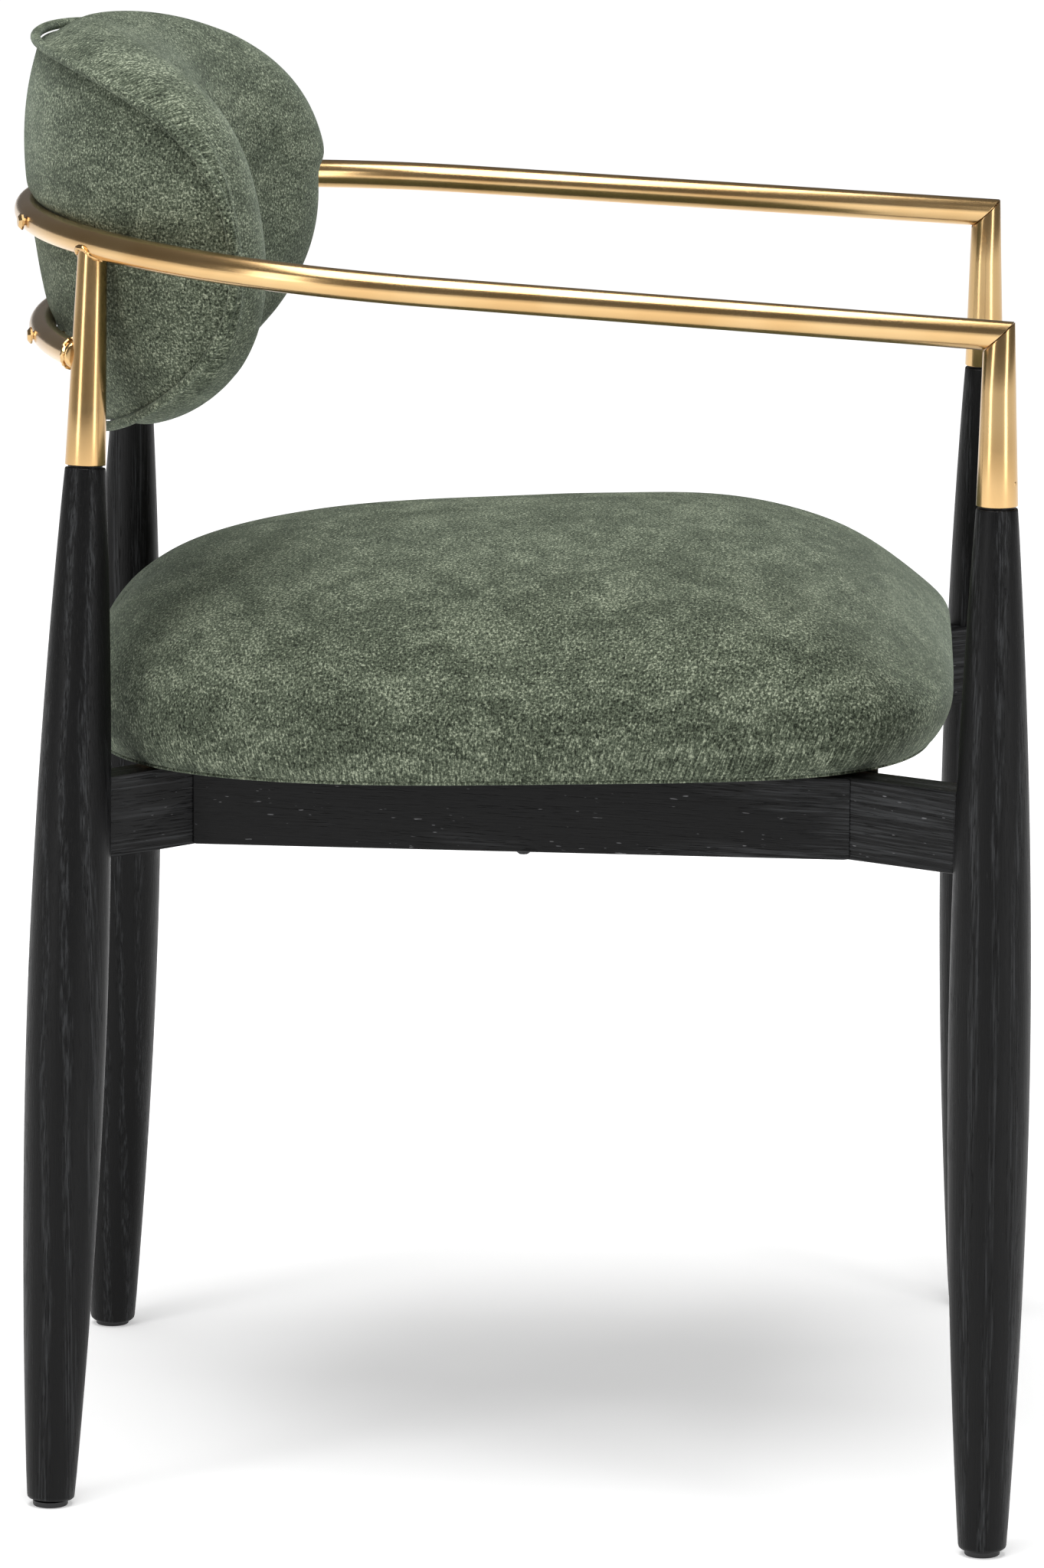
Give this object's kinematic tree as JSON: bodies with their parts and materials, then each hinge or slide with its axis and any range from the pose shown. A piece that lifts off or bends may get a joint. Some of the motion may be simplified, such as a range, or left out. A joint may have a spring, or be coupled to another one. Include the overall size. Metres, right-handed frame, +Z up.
{
  "type": "dining armchair",
  "caption": "Dining armchair with turned black legs, a brass tube arm that wraps behind a curved padded back, a low wooden seat frame and a domed green seat.",
  "frame": {"origin": "on the floor, under the middle of the chair's bounding box", "axes": "+X towards the sitter's left, -Y the way the sitter faces, +Z up"},
  "size_m": [0.5768, 0.5585, 0.7916],
  "materials": {
    "black_ash": "black stain and satin lacquer over open-pored ash",
    "satin_brass": "fine-brushed satin brass, lacquered",
    "steel": "zinc-plated",
    "beech": "plain",
    "plywood": "plain",
    "foam": "open-cell foam under wadding",
    "green_chenille": "soft woven chenille, sage green",
    "lining": "thin black non-woven",
    "nylon": "moulded"
  },
  "bodies": {
    "root": {"leg_front_left": "black_ash", "corner_board_front_left": "black_ash", "leg_sleeve_front_left": "satin_brass", "sleeve_pin_front_left": "satin_brass", "leg_stud_front_left": "steel", "stud_nut_front_left": "steel", "leg_dowel_front_left": "beech", "foot_glide_front_left": "nylon", "leg_front_right": "black_ash", "corner_board_front_right": "black_ash", "leg_sleeve_front_right": "satin_brass", "sleeve_pin_front_right": "satin_brass", "leg_stud_front_right": "steel", "stud_nut_front_right": "steel", "leg_dowel_front_right": "beech", "foot_glide_front_right": "nylon", "leg_rear_left": "black_ash", "corner_board_rear_left": "black_ash", "leg_sleeve_rear_left": "satin_brass", "sleeve_pin_rear_left": "satin_brass", "leg_stud_rear_left": "steel", "stud_nut_rear_left": "steel", "leg_dowel_rear_left": "beech", "foot_glide_rear_left": "nylon", "leg_rear_right": "black_ash", "corner_board_rear_right": "black_ash", "leg_sleeve_rear_right": "satin_brass", "sleeve_pin_rear_right": "satin_brass", "leg_stud_rear_right": "steel", "stud_nut_rear_right": "steel", "leg_dowel_rear_right": "beech", "foot_glide_rear_right": "nylon", "arm_tube": "satin_brass", "lower_back_tube": "satin_brass", "front_rail": "black_ash", "rear_rail": "black_ash", "side_rail_left": "black_ash", "side_rail_right": "black_ash", "seat_board": "plywood", "back_board": "plywood", "seat_foam": "foam", "back_foam": "foam", "back_rear_pad": "foam", "seat_cover": "green_chenille", "back_front_cover": "green_chenille", "back_rear_cover": "green_chenille", "back_piping": "green_chenille", "dust_cover": "lining", "seat_screw_front": "steel", "seat_screw_rear": "steel", "seat_screw_side_left": "steel", "seat_screw_side_right": "steel", "back_screw_upper_left": "steel", "back_screw_upper_right": "steel", "back_screw_lower_left": "steel", "back_screw_lower_right": "steel"}
  },
  "joints": []
}
